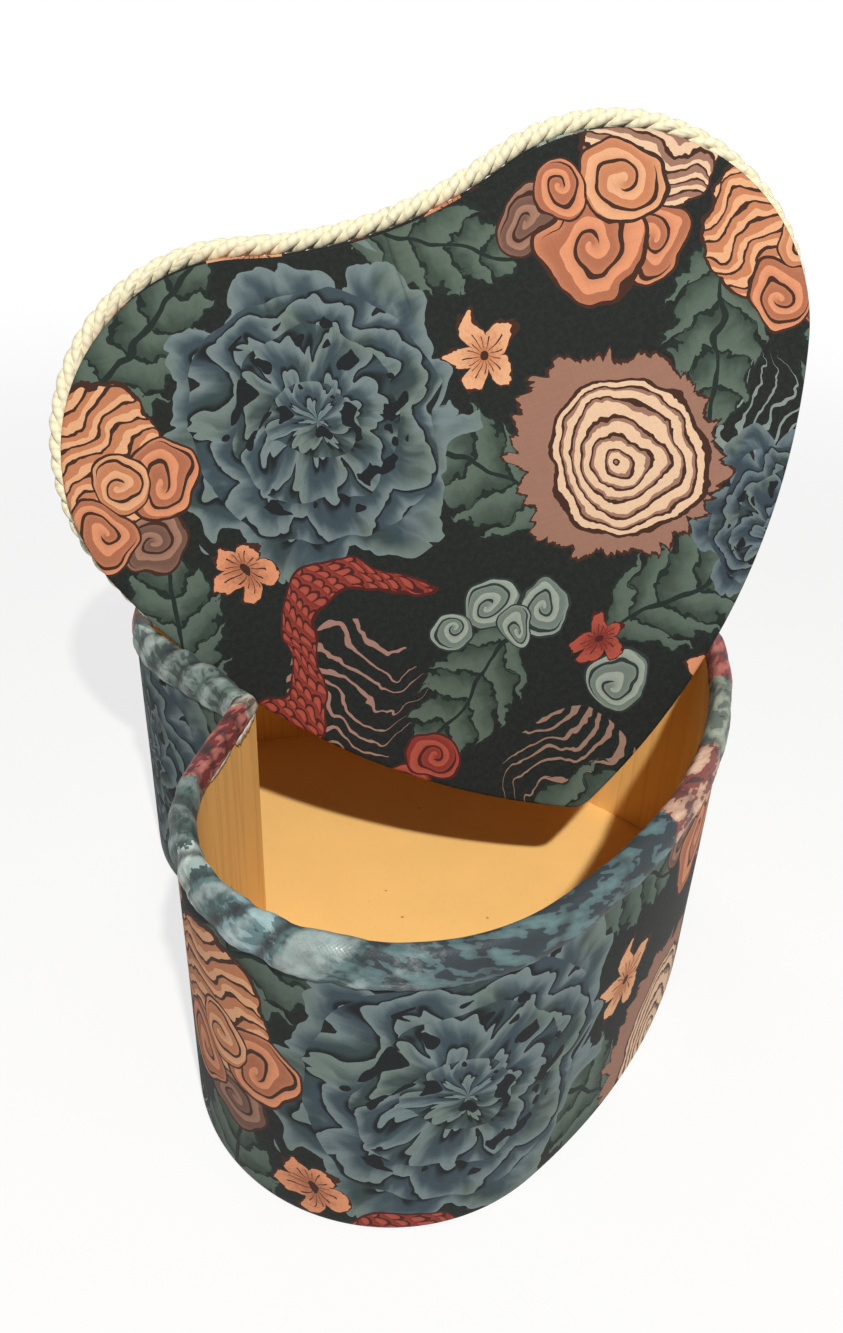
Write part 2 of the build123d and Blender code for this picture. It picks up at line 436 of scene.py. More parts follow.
# %% [markdown]
# A cloud is a cluster of round curls laid over each other, each a disc with a
# dark edge and a spiral line. The spiral is where the radius, less a share of
# the angle, passes a whole number.

# %% The curl of a cloud
w = Ornament("cloud_curl")
arms = (w.radius * 1.9 - w.angle * (0.5 / pi) + 0.2).fraction()
spiral = (abs(arms - 0.5) < 0.085) * (w.radius > 0.16) * (w.radius < 0.84)
w.lay(w.radius < 1.0, w.shade(w.fade(arms, 0.15, 0.95)), spiral | (w.radius > 0.925))

# %% [markdown]
# A leaf is as wide as a lens at each point along it, and its edge is broken
# into lobes that point to its tip. The veins follow the same slanted measure
# as the lobes, so that each vein runs out to one lobe.

# %% The ragged leaf
w = Ornament("ragged_leaf")
aside = abs(w.y)
ragged = w.noise(w.local, 5.0, 2.0, 0.6)
slant = w.x * 2.5 - aside * 1.9 + ragged * 0.9
saw = (slant + 0.3).fraction()
lens = ((1.0 - w.x * w.x) | 0.0) ** 0.55
width = lens * (saw**0.6 * 0.28 + 0.14 + ragged * 0.42)
vein = (abs((slant + 0.75).fraction() - 0.5) < 0.07) * (aside < width * 0.78)
edges = vein | (aside < 0.025) | (aside > width - 0.05)
w.lay((aside < width) * (abs(w.x) < 0.98), w.shade(w.fade(saw, 0.1, 0.9)), edges)

# %% [markdown]
# A peony is drawn as rings of petals. The radius is pushed in and out round
# each ring by scallops, and frayed by noise. Its whole part is then the ring's
# number and its fraction says how far out on the petal a point is: dark under
# the petal above, pale at its lip.

# %% The peony
w = Ornament("peony")
scallop = abs((w.angle * 3.5 + (w.radius * 3.9).floor() * 1.9).sine())
fray = w.noise(w.local, 3.6, 2.0, 0.45)
drift = w.noise(w.local, 1.7, 1.0)
frill = abs((w.angle * 14.0 + fray * 9.0).sine())
measure = w.radius * 4.5 - scallop * 0.75 + fray * 1.5 + drift * 1.5 - frill * 0.16 - 1.0
petal = measure.fraction()
streak = w.noise(w.join(w.angle * 6.0, w.radius * 1.5), 2.0, 2.0)
pale = w.fade(petal + streak * 0.5, 0.55, 1.25)
mossy = w.fade(w.noise(w.local, 2.6, 2.0), 0.46, 0.6, 0.0, 0.6)
body = w.mix(mossy, w.shade(pale), w.mix(pale, paint(48, 60, 54), paint(104, 118, 108)))
blot = (w.noise(w.local, 6.5, 1.5, 0.4) > 0.6) * (w.radius < 0.6)
w.lay(measure < 4.0, w.mix(blot, body, w.line), w.fade(petal, 0.04, 0.24, 1.0, 0.0))

# %% [markdown]
# The wave fan is a set of wavy rings in cream on brown inside a ragged collar,
# as a sun or a breaking wave is drawn. The striped foam uses the same idea on
# straight lines.

# %% The wave fan and the foam
w = Ornament("wave_fan")
wobble = w.noise(w.local, 11.0, 1.0) * 0.05 + w.noise(w.local, 3.0, 0.0) * 0.06
reach = w.radius + wobble + w.x * 0.16 - 0.05
rings = (reach * 8.6).fraction()
fringe = w.noise(w.join(w.angle.sine() * 3.0, w.angle.cosine() * 3.0), 2.6, 3.0)
outer = fringe * 0.5 + 0.72
within = reach < 0.69
edges = (abs(rings - 0.3) < 0.1) * within | (abs(reach - 0.7) < 0.02) | (w.radius > outer - 0.035)
w.lay(w.radius < outer, w.shade((rings > 0.36) * within), edges)

w = Ornament("foam_stripes")
wave = (w.x * 7.0).sine() * 0.07
stripe = ((w.y + wave + w.noise(w.local, 3.0) * 0.25) * 5.0).fraction()
outer = w.noise(w.local, 2.4, 3.0) * 0.4 + 0.78
edges = (abs(stripe - 0.5) < 0.1) | (w.radius > outer - 0.05)
w.lay(w.radius < outer, w.shade(stripe > 0.5), edges)

# %% [markdown]
# A blossom has five notched petals round a dark eye. The ribbon is a band
# along a sine curve, filled with rows of scales: each scale is the arc of a
# circle in a cell, and every second row is moved by half a cell.

# %% The blossom, the ribbon and the tendrils
w = Ornament("blossom")
lobed = abs((w.angle * 2.5).cosine())
outer = lobed**0.7 * 0.5 + 0.22 + w.noise(w.local, 2.8, 2.0) * 0.52
ribs = ((w.angle * (15 / (2 * pi))).fraction() < 0.16) * (w.radius < outer * 0.62)
edges = ribs | (w.radius > outer - 0.07) | (w.radius < 0.13)
w.lay(w.radius < outer, w.shade(w.fade(w.radius + w.noise(w.local, 9.0) * 0.8, 0.5, 1.2)), edges)

w = Ornament("scaled_ribbon")
off = w.y - (w.x * 4.4).sine() * 0.3
square = w.x * w.x
width = (1.0 - square * square) * 0.2
row = w.x * 13.0
shift = row.floor() % 2.0 * 0.5
scale = w.vector("LENGTH", w.join(row.fraction() - 0.1, (off * 11.0 + shift).fraction() - 0.5))
edges = (abs(scale - 0.52) < 0.1) | (abs(off) > width - 0.025)
body = w.mix(w.fade(scale, 0.1, 0.9), w.light, w.dark)
w.lay((abs(off) < width) * (abs(w.x) < 1.0), body, edges)

w = Ornament("tendrils")
sway = (w.x * 3.6).sine() * 0.2 + w.noise(w.local, 2.0) * 0.5
strand = ((w.y + sway) * 4.0).fraction()
taper = (1.0 - w.x) * 0.11
w.lay((abs(strand - 0.5) < taper) * (w.radius < 1.0), w.light)


# %% [markdown]
# The repeat itself is a table: what is painted, where, how large, how turned
# and in which colours, from the back to the front. Leaves go under the flowers,
# and clouds are several curls. Real prints are drawn by hand, so the cloth's
# place is first bent a little by noise, which makes every outline waver.

# %% The printed repeat
GROUND = paint(29, 32, 30)
OUTLINE = paint(62, 40, 32)
INK = paint(28, 31, 33)
BLUE = (paint(108, 122, 124), paint(56, 70, 77), INK)
SLATE = (paint(96, 110, 116), paint(52, 64, 72), INK)
GREEN = (paint(84, 98, 88), paint(54, 66, 58), paint(33, 42, 38))
CORAL = (paint(205, 138, 102), paint(160, 100, 74), OUTLINE)
MAUVE = (paint(148, 112, 94), paint(104, 77, 66), OUTLINE)
CREAM = (paint(210, 178, 148), paint(142, 106, 90), OUTLINE)
PEACH = (paint(210, 158, 120), paint(180, 118, 84), OUTLINE)
RED = (paint(160, 76, 62), paint(122, 50, 42), paint(72, 32, 30))
SEA = (paint(146, 156, 146), paint(104, 116, 108), paint(44, 52, 50))
TENDRILS = [(140, 112, 98), (150, 116, 106), (120, 132, 126)]
TENDRILS = [(paint(*tone), GROUND, GROUND) for tone in TENDRILS]

# where in the repeat, radius, turn in degrees, and light, dark and line colours
ORNAMENTS = {
    "tendrils": [
        (4, 42, 14, 200, TENDRILS[0]), (-34, -54, 15, -30, TENDRILS[1]),
        (66, -26, 12, 60, TENDRILS[2]),
    ],
    "ragged_leaf": [
        (-50, 31, 21, 35, GREEN), (12, 29, 19, -28, GREEN), (8, -19, 20, 130, GREEN),
        (63, -8, 19, 250, GREEN), (-64, -30, 19, 80, GREEN), (40, -56, 20, 10, GREEN),
        (-10, -61, 17, 215, GREEN),
    ],
    "foam_stripes": [(-68, 8, 17, 18, PEACH), (63, 34, 15, -35, CREAM)],
    "peony": [(-22, 3, 34, 0, BLUE), (66, -50, 22, 70, SLATE)],
    "wave_fan": [(35, -25, 23, 160, CREAM)],
    "scaled_ribbon": [(-40, -42, 29, 24, RED)],
    "cloud_curl": [
        (33, 26, 7, 40, MAUVE), (56, 14, 8, 160, CORAL), (44, 17, 11, 20, CORAL),
        (54, 27, 9, 250, PEACH), (41, 29, 6, 330, CORAL), (-62, -9, 7, 100, MAUVE),
        (-72, -5, 8, 210, CORAL), (-56, 2, 8, 300, CORAL), (-64, 5, 5.5, 20, PEACH),
        (0, -45, 6, 30, SEA), (10, -49, 5, 200, SEA), (-9, -48, 4.5, 120, SEA),
        (4, -52, 4, 300, SEA), (-32, 50, 7, 60, RED), (-22, 55, 6, 240, RED),
        (68, 60, 7, 10, MAUVE), (20, 58, 6.5, 80, SEA),
    ],
    "blossom": [
        (15, 4, 9, 20, PEACH), (-47, -21, 7, 50, CORAL), (44, 50, 11, 0, CORAL),
        (-62, 58, 9, 70, PEACH), (19, -60, 6, 10, RED),
    ],
}

w = Group("printed_cotton", {"Cloth": ORIGIN}, ["Color"])
cloth = hand = w.given[0]
for scale, detail, rough, reach in ((0.07, 1.0, 0.5, 9.0), (0.2, 1.5, 0.4, 2.0)):
    bend = w.vector("SUBTRACT", w.noise(cloth, scale, detail, rough, "Color"), (0.5, 0.5, 0.5))
    hand = w.vector("ADD", hand, w.vector("SCALE", bend, reach))
hand = w.vector("MULTIPLY", hand, (1, 1, 0))
colour = w.mix(w.fade(w.noise(cloth, 0.9, 3.0, 0.6), 0.35, 0.7), GROUND, paint(36, 39, 38))
for kind, placed in ORNAMENTS.items():
    for at_x, at_y, size, turn, (light, dark, line) in placed:
        colour = w.use(
            kind, Cloth=hand, Under=colour, Centre=(at_x, at_y, 0), Turn=radians(turn), Size=size,
            Light=light, Dark=dark, Line=line,
        )["Color"]
w.give(Color=colour)
print(sum(len(placed) for placed in ORNAMENTS.values()), "ornaments in each repeat")


# %% [markdown]
# Cotton is a plain weave of round threads about a third of a millimetre apart.
# Two crossed sine waves give its height, and noise makes some threads thicker
# and paler. A finer noise lightens the colour a little where fibres stand up.

# %% The weave, shared by every cloth
THREAD = 0.35  # from one to the next, in millimetres
SURFACE = ("Color", "Height", "Roughness")
w = Group("cotton_weave", {"Cloth": ORIGIN, "Color": GREY}, SURFACE)
cloth, colour = w.given
u, v, _ = w.split(cloth)
turns = pi / THREAD
weave = (u * turns).sine() * (v * turns).sine()
weft = w.noise(w.vector("MULTIPLY", cloth, (0.15, 1.6, 1.0)), 1.0)
warp = w.noise(w.vector("MULTIPLY", cloth, (1.6, 0.15, 1.0)), 1.0)
fuzz = w.noise(cloth, 2.2, 3.0, 0.7)
# the weave term paints the threads' tops slightly lighter and the dips between them darker, as
# painted shade; the weft and warp noise is the threads' own tone
shaded = w.vector("SCALE", colour, weft * 0.14 + 0.86 + warp * 0.14 + weave * 0.035)
w.give(
    Color=w.mix(w.fade(fuzz, 0.66, 0.8, 0.0, 0.10), shaded, paint(150, 150, 146)),
    Height=weave * 0.35 + weft * 0.5 + warp * 0.5,
    Roughness=w.fade(fuzz, 0.3, 0.7, 0.78, 0.92),
)
print("weave ready: threads", THREAD, "mm apart")


# %% [markdown]
# The cloth rolled over the rim shows broad pieces of the larger flowers and
# clouds, cut through, so it is painted in brushed patches along its length.
# It is also what hands touch, so its folds are polished and less rough on their
# crowns. The crowns are also painted paler, as a highlight, and the creases
# between them are painted dark, as shade.

# %% Patches, polished folds, painted highlights and painted shade
w = Group("ragged_edge", {"Cloth": ORIGIN}, ["Along"])
cloth = w.given[0]
along, _, _ = w.split(cloth)
w.give(Along=along + (w.noise(cloth, 0.35, 3.0, 0.6) - 0.5) * 9.0)

w = Group("brush_strokes", {"Cloth": ORIGIN, "Light": GREY, "Dark": GREY}, ["Color"])
cloth, light, dark = w.given
along, over, _ = w.split(cloth)
brush = w.noise(w.join(along * 0.15, over * 0.30 + along * 0.08), 1.0, 2.5, 0.6)
petal = w.mix(w.fade(brush, 0.49, 0.505), dark, light)
petal = w.mix(w.fade(brush, 0.50, 0.66, 0.45, 0.0), petal, dark)
w.give(Color=w.mix(w.fade(brush, 0.36, 0.39, 0.8, 0.0), petal, paint(32, 37, 38)))

FOLD_LIGHT_INPUTS = {"Cloth": ORIGIN, "Color": GREY, "Roughness": 0.8, "Fold": 0.5}
w = Group("handled_folds", FOLD_LIGHT_INPUTS, ("Color", "Roughness"))
cloth, colour, roughness, fold = w.given
# the crowns of the folds: a painted highlight in the colour, and lower roughness for their polish
crown_polish_and_highlight = w.fade(fold + w.noise(cloth, 0.5, 3.0, 0.6) * 0.5, 0.98, 1.32)
# the creases between the folds: painted shade, mixed toward near black
crease = w.fade(fold, 0.05, 0.6, 0.88, 0.0)
body = w.mix(crease, colour, paint(20, 20, 20))
body = w.mix(crown_polish_and_highlight * 0.4, body, paint(206, 218, 214))
w.give(Color=body, Roughness=roughness - crown_polish_and_highlight * 0.36 - 0.2)


def cotton(name, start=(0.0, 0.0), mirrored=False, plain=None, patches=(), worn=False):
    """Printed or plain cotton. Start is the print's place at the cloth's zero;
    patches stand in its place, and the rim's cotton has polished folds with a
    painted highlight on their crowns and painted shade in their creases."""
    w = Finish(name)
    place = w.attribute("cloth")
    if patches:
        along = w.use("ragged_edge", Cloth=place)["Along"]
        tones = [paint(*tone) for tone in patches[0][1:]]
        for begin, *following in patches[1:]:
            reached = along > begin
            tones = [w.mix(reached, old, paint(*new)) for old, new in zip(tones, following)]
        light, dark = tones
        colour = w.use("brush_strokes", Cloth=place, Light=light, Dark=dark)["Color"]
    elif plain:
        colour = plain
    else:
        on_print = w.vector("MULTIPLY_ADD", place, (-1 if mirrored else 1, 1, 1), (*start, 0))
        colour = w.use("printed_cotton", Cloth=on_print)["Color"]
    woven = w.use("cotton_weave", Cloth=place, Color=colour)
    colour, roughness = woven["Color"], woven["Roughness"]
    # painted highlight on the fold crowns and painted shade in the creases, with polish in the
    # roughness
    if worn:
        fold = w.attribute("fold", "Fac")
        painted_fold_light = w.use("handled_folds", Cloth=place, Color=colour, Roughness=roughness, Fold=fold)
        colour, roughness = painted_fold_light["Color"], painted_fold_light["Roughness"]
    look = {
        "Base Color": colour, "Roughness": roughness, "Sheen Weight": 0.03, "Sheen Roughness": 0.4,
        "Specular IOR Level": 0.5 if worn else 0.14,
    }
    w.surface(look, woven["Height"], strength=0.5, distance=0.00008)
    return w.material


# where each begins along the rim in millimetres, its light and its dark colour;
# the near-white one from 46 mm is a painted highlight on a puff, and the pale
# one from 61 mm is partly a painted highlight
RIM_PRINT_AND_HIGHLIGHT = [
    (0, (196, 190, 172), (110, 96, 88)), (4, (186, 118, 108), (104, 42, 42)),
    (27, (84, 106, 102), (46, 62, 60)), (46, (200, 212, 206), (156, 172, 168)),
    (52, (92, 120, 120), (56, 78, 78)), (61, (150, 176, 180), (84, 110, 114)),
    (70, (90, 116, 116), (48, 70, 72)), (84, (88, 114, 116), (30, 42, 48)),
    (147, (214, 180, 154), (120, 62, 56)), (172, (156, 164, 148), (90, 100, 92)),
    (199, (186, 112, 102), (122, 52, 50)), (217, (142, 152, 146), (68, 82, 78)),
    (246, (84, 100, 104), (34, 44, 48)), (284, (200, 142, 110), (112, 70, 56)),
    (312, (78, 92, 84), (40, 50, 46)), (352, (56, 62, 62), (34, 38, 38)),
    (380, (176, 104, 92), (112, 52, 48)), (397, (150, 166, 158), (74, 90, 86)),
    (411, (112, 130, 122), (50, 64, 60)),
]
side_cotton = cotton("side_print", start=(-122.0, -30.0))
rim_cotton = cotton("rim_print", patches=RIM_PRINT_AND_HIGHLIGHT, worn=True)
lining_cotton = cotton("lining_print", mirrored=True, start=(4.0, 0.0))
top_cotton = cotton("top_print", start=(61.0, 22.0))
base_cotton = cotton("base_plain", plain=paint(44, 47, 50))


# %% [markdown]
# The side cloth is one strip pasted round the wall. Its lower edge is turned
# under the box, its upper edge goes up under the rolled rim, and its two ends
# meet at the cleft, one lapped over the other. It is modelled as a skin that
# starts and ends there, with the slight bubbles that pasted cloth has.

# %% The printed side
def swell(point, scale, seed=0.0):
    """Smooth noise from 0 to 1 at a place given in millimetres."""
    at = Vector(point) * scale + Vector((seed, seed, seed))
    return 0.5 + 0.5 * noise.noise(at)


def push_rows(rows, move):
    """Move each vertex by move(row, column, place, outwards, vertex)."""
    for j, row in enumerate(rows):
        places = [v.co.copy() for v in row]
        for i, vert in enumerate(row):
            along = (places[min(i + 1, len(row) - 1)] - places[max(i - 1, 0)]).normalized()
            vert.co += move(j, i, places[i], Vector((along.y, -along.x, 0)), vert)


side_profile = [(4.6, 0.40), (2.4, 0.36), (0.9, 0.34), (0.35, 0.45), (0.10, 0.8), (0.0, 1.5)]
side_profile += [(0.0, z) for z in (4, 8, 13, 19, 25, 31, 37, 43, 48, 52, 55, 57, 58.6)]
SIDE_SPACING, RIM_SPACING = 1.2, 0.8
bm = new_cloth()
rows = rows_of(bm, box_plan, side_profile, SIDE_SPACING)
round_box = way_round(box_plan, SIDE_SPACING)
mark_cloth(bm, rows, [[(s, z) for s in round_box] for _, z in side_profile])


def bubbles(j, i, place, out, vert):
    s, height = round_box[i], side_profile[j][1]
    if height < 3:
        return Vector()
    from_cleft = min(s, round_box[-1] - s)
    lap = 0.38 if s < 7.0 else 0.0
    loose = 0.22 * swell((s, height, 0), 0.045) ** 2
    near_cleft = 0.3 * max(0, 1 - from_cleft / 30) * swell((s * 2.0, height * 0.4, 4), 0.16)
    return out * (lap + loose + near_cleft)


push_rows(rows, bubbles)
printed_side = piece_from(bm, "printed_side", side_cotton)
thicken(printed_side, CLOTH)
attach(printed_side, "box")
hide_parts("side_cloth")
print("side cloth:", round(cloth_area(printed_side) * 1e4, 1), "cm2")

# %% [markdown]
# At the rim the cloth is rolled over the edge of the card and glued inside.
# Round the tight curves it has to be gathered, so it stands up in puffs with a
# slanted crease between each two. We take a slim roll as the cross section,
# let it swell between the creases and pull it in at each one. It stays fuller
# by the cleft and under the lid's far edge. The creases near the cleft and on
# the near lobe are placed as they are on the real rim, the others by dice.

# %% The creases round the rim
dice = random.Random(11)
# place along the rim, slant across it, depth; all in millimetres
creases = [
    (2.5, 2.0, 0.6), (6.5, 6.0, 0.9), (11.5, 7.0, 0.7), (17.5, 7.0, 0.8), (24.0, 6.0, 0.9),
    (31.5, 9.0, 0.9), (39.5, 10.0, 0.8), (47.0, 7.0, 1.3), (52.5, 9.0, 1.1), (62.0, 11.0, 1.7),
    (70.5, 7.0, 1.8), (84.0, 12.0, 0.9), (101.0, -6.0, 0.3), (116.0, 9.0, 0.4),
]
at = 131.0
while at < 392:
    creases.append((at, dice.uniform(-6, 10), dice.uniform(0.15, 0.5)))
    at += dice.uniform(13.0, 24.0)
creases += [
    (399.0, 5.0, 0.7), (406.0, 4.0, 0.8), (414.5, 7.0, 1.1), (422.0, 4.0, 1.2), (429.0, 6.0, 0.9),
    (435.0, 2.0, 0.8),
]
print(len(creases), "creases round the rim")

# %% The rolled rim
rim_profile = [
    (0.02, 57.2), (-0.55, 57.0), (-1.20, 57.9), (-1.55, 59.4), (-1.50, 61.1), (-0.95, 62.7),
    (0.20, 63.9), (1.60, 64.3), (2.85, 63.95), (3.75, 62.8), (4.10, 61.4), (3.98, 60.3),
    (3.42, 59.4),
]
ROLL_INSET, ROLL_HEIGHT = 1.45, 60.7  # the roll's middle
SEATS = (212.0, 407.0)  # where the lid rests, along the rim
TURNED_DOWN = 2.6  # at the far flank the turned-in edge is glued further down
PAST_START, PAST_END = (-6.0, 0.7), (445.0, 0.7)  # the creases that lie in the cleft itself
bm = new_cloth()
rows = rows_of(bm, box_plan, rim_profile, RIM_SPACING)
round_rim = way_round(box_plan, RIM_SPACING)
girth = [0.0]
for (a, b), (c, d) in zip(rim_profile, rim_profile[1:]):
    girth.append(girth[-1] + hypot(c - a, d - b))
mark_cloth(bm, rows, [[(s, 57.0 + g) for s in round_rim] for g in girth])

# how freely each row may puff, from its glued lower edge over to the inside
freedom = [sin(pi * min(1.0, g / girth[-1] * 1.02)) ** 0.55 for g in girth]
fold = bm.verts.layers.float["fold"]


def room(s):
    """How far the folds may stand out: little where the lid rests on them."""
    return min(1.0, 0.12 + max(0.0, min(abs(s - seat) for seat in SEATS) - 8.0) / 14.0)


def ease(share):
    share = min(1.0, max(0.0, share))
    return share * share * (3 - 2 * share)


def between(s, begin, end, soft=6.0):
    """1 from begin to end, falling to 0 softly on both sides."""
    return ease((s - begin) / soft + 0.5) * ease((end - s) / soft + 0.5)


def fullness(s, share):
    """How far the roll is fatter, or thinner, than its cross section here."""
    seated = max(between(s, 200, 226), between(s, 398, 416))
    by_cleft = between(s, 406, 433, soft=4.0) * min(3.0, 0.9 + 0.3 * max(0.0, s - 412))
    under_lid = 1.9 * between(s, 403.5, 421, soft=5.0)
    over = max(0.0, share - 0.45) / 0.55  # from the roll's top to its inside
    return -1.0 + 0.5 * seated + (by_cleft + under_lid) * over


def slack(inset, height):
    """How far a point of the roll may sink before it meets the card inside."""
    outside, wall, liner, wall_top, liner_top = -0.35, 3.15, 3.75, 63.8, 60.6
    in_by, up_by = ROLL_INSET - inset, ROLL_HEIGHT - height
    depth, reach = 0.0, hypot(in_by, up_by)
    while depth < 2.5:
        x, z = inset + in_by * depth / reach, height + up_by * depth / reach
        if outside < x < (liner if z < liner_top else wall) and z < wall_top:
            break
        depth += 0.05
    return depth


def folds_at(s, share):
    """(outwards, fold) at s along the rim, at a share of the way over it."""
    slanted = [(place + slant * (share - 0.4), depth) for place, slant, depth in creases]
    before, cut = max((c for c in slanted if c[0] <= s), default=PAST_START)
    after, dent = min((c for c in slanted if c[0] > s), default=PAST_END)
    gap = after - before
    t = (s - before) / gap
    sharp = exp(-(s - before) / 0.7) * cut
    soft = exp(-(((after - s) / 2.6) ** 1.3)) * dent * 0.5
    pillow = (1 - abs(2 * t**0.75 - 1) ** 2.6) * min(1.0, gap / 7.0)
    plump = 0.3 + 0.7 * min(1.0, (cut + dent) / 2)
    valley = min(1.0, sharp + soft)
    near_lobe, by_cleft = between(s, 61, 84, soft=3.0), between(s, 414, 437)
    plump *= 1 + 1.3 * near_lobe + 0.6 * by_cleft
    puffed = 0.5 * room(s) * pillow * plump - 0.95 * (sharp + soft)
    return puffed + fullness(s, share), (1 - valley) * min(1.0, 0.3 + 0.7 * pillow * plump)


deepest = [-slack(inset, height) for inset, height in rim_profile]


def puffs(j, i, place, out, vert):
    s, (inset, height) = round_rim[i], rim_profile[j]
    middle = place - out * (ROLL_INSET - inset)
    middle.z = ROLL_HEIGHT
    outwards, vert[fold] = folds_at(s, girth[j] / girth[-1])
    wrinkle = 0.34 * (swell((s * 0.9, girth[j] * 0.8, 2), 0.2) - 0.5)
    gather = 0.16 * (1 - freedom[j]) * sin(2.4 * s + 5 * swell((s, 0, 7), 0.15))
    lifted = max(deepest[j], freedom[j] * (outwards + wrinkle * room(s)) + gather)
    from_edge = max(0, j + 3 - len(rows))  # 0 but for the last two rows
    drop = Vector((0, 0, TURNED_DOWN * from_edge * between(s, 402, 426)))
    return (place - middle).normalized() * lifted - drop


push_rows(rows, puffs)
rim_folds = piece_from(bm, "rim_folds", rim_cotton)
thicken(rim_folds, CLOTH, smooth=1)
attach(rim_folds, "box")
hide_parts("rim_roll")
print("rolled rim:", round(cloth_area(rim_folds) * 1e4, 1), "cm2")

# %% [markdown]
# At the cleft the rolled cloth had to be snipped to turn the corner. Its torn
# backing paper shows there as a ragged white fringe on the liner. One row of
# vertices follows the rim; the row pulled down from it ends at random heights.

# %% Torn paper at the cleft
def torn_fringe(bm, begin, end, longest):
    """A ragged strip on the liner between two places along the rim."""
    spacing, inset, height = 0.45, 3.42, 60.2
    along = way_round(box_plan, spacing)
    places = outline_places(box_plan, inset, height, spacing)
    top = [place for place, s in zip(places, along) if begin <= s <= end]
    row = drag(bm, bm.verts.new(top[0]), top[1:])
    inwards = Vector((-30, -25, 0)).normalized()
    for share, lift in ((0.5, 0.02), (1.0, 0.22)):
        drops = []
        for k, place in enumerate(top):
            ends = sin(pi * k / (len(top) - 1)) ** 0.35
            tear = longest * ends * (0.25 + 0.75 * swell((k * 0.31, begin, 0), 1.0))
            tear *= 0.62 + 0.38 * dice.random()
            drops.append(place - Vector((0, 0, tear * share)) + inwards * lift * ends)
        row = pull_row(bm, row, drops)


bm = new_cloth()
for begin, end, longest in ((0.8, 11.0, 3.6), (12.0, 23.0, 1.7), (429.0, 438.0, 1.6)):
    torn_fringe(bm, begin, end, longest)
torn_paper = piece_from(bm, "torn_paper", outwards=False)
thicken(torn_paper, PAPER)
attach(torn_paper, "box")

# %% [markdown]
# Underneath, a plain heart of cloth is pasted over the turned-in edge of the
# side cloth. It is a filled outline: the same outline is shrunk towards one
# point inside it, ring by ring, and the last ring is closed. The lid's two
# sides are made the same way later.

# %% Covering a heart
INNER = [0.97, 0.92, 0.86, 0.79, 0.71, 0.62, 0.53, 0.44, 0.35, 0.26, 0.17, 0.09, 0.03]
LEVEL = [0.0] * len(INNER)
FREE_RINGS = len(INNER) + 3  # the rings, and the last three rows of the profile, may ripple


def covered_heart(plan, profile, spacing, hub=(0, -12), depths=LEVEL, ripple=None):
    """A skin whose edge follows the profile, closed by rings round the hub that lie
    at the depths. Ripple(ring, place along the edge, place) lifts each vertex."""
    bm = new_cloth()
    rows = rows_of(bm, plan, profile, spacing)
    edge = [v.co.copy() for v in rows[-1]]
    middle = Vector((*hub, 0))
    for share, depth in zip(INNER, depths):
        places = [middle + share * (place - middle) for place in edge]
        rows.append(pull_row(bm, rows[-1], [Vector((at.x, at.y, depth)) for at in places]))
    mark_cloth(bm, rows, [[v.co for v in row] for row in rows])
    if ripple:
        round_edge = way_round(plan, spacing)
        for ring, row in enumerate(rows[-FREE_RINGS:], -3):
            for s, vert in zip(round_edge, row):
                vert.co.z += ripple(ring, s, vert.co)
    bmesh.ops.remove_doubles(bm, verts=bm.verts[:], dist=0.0005)
    ring = [v for v in rows[-1] if v.is_valid]
    face = bmesh.ops.contextual_create(bm, geom=edges_along(ring))["faces"]
    bmesh.ops.poke(bm, faces=face)
    return bm


base_profile = [(2.3, 0.27), (2.35, 0.10), (2.6, 0.0)]
bm = covered_heart(box_plan, base_profile, spacing=2.0, hub=(0, -15))
base_covering = piece_from(bm, "base_covering", base_cotton)
thicken(base_covering, BASE_CLOTH)
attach(base_covering, "box")
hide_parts("base_cloth")


# %% [markdown]
# The lid stands on its tip and leans, so its pieces are built lying flat, with
# their depth measured from the lined face, and then stood up by one matrix.
# The matrix is read from the CAD: its turn from the angles that the lid leans
# at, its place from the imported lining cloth.

# %% Standing the lid up
lid_facing, lid_lean, lid_roll = radians(-17.0), radians(25.0), radians(20.7)
outward = Vector((cos(lid_facing), sin(lid_facing), 0))
level = Vector((-sin(lid_facing), cos(lid_facing), 0))
into_lid = outward * cos(lid_lean) - Vector((0, 0, sin(lid_lean)))
uphill = outward * sin(lid_lean) + Vector((0, 0, cos(lid_lean)))
across = level * cos(lid_roll) - uphill * sin(lid_roll)
to_cleft = level * sin(lid_roll) + uphill * cos(lid_roll)
axes = np.array([across, to_cleft, into_lid])
points = np.array([v.co for v in nodes["lining_cloth"].data.vertices]) / MM @ axes.T
low, high = points.min(0), points.max(0)
middle = Vector(axes.T @ np.array([(low[0] + high[0]) / 2, high[1] - lid_plan.lobe, low[2]]))
stand_up = Matrix.Translation(middle) @ Matrix((across, to_cleft, into_lid)).transposed().to_4x4()
off = (Vector(frame["joints"][0]["axis"]) - to_cleft).length
print("lid's middle:", [round(c, 2) for c in middle], "slide off by", round(off, 4))


def stand(bm):
    bmesh.ops.transform(bm, matrix=stand_up, verts=bm.verts[:])


# %% [markdown]
# The lined face is cotton pulled over a heart of card and glued down behind.
# Cloth pulled over a curved edge gathers into small pleats there, and stays
# flat in the middle with a faint wave in it.

# %% The lined underside of the lid
face_profile = [
    (5.5, 2.56), (2.0, 2.55), (0.6, 2.5), (0.15, 2.25), (0.0, 1.8), (0.0, 1.0), (0.06, 0.45),
    (0.3, 0.14), (0.8, 0.02), (1.6, 0.0),
]


def pulled_cloth(ring, s, at):
    wave = 0.10 * (swell((at.x, at.y, 0), 0.035) - 0.5)
    wave += 0.05 * (swell((at.x, at.y, 9), 0.12) - 0.5)
    if ring > 1:
        return wave
    return wave + 0.09 * (0.5 + 0.5 * sin(s * 1.9 + 3 * swell((s, 0, 0), 0.05)))


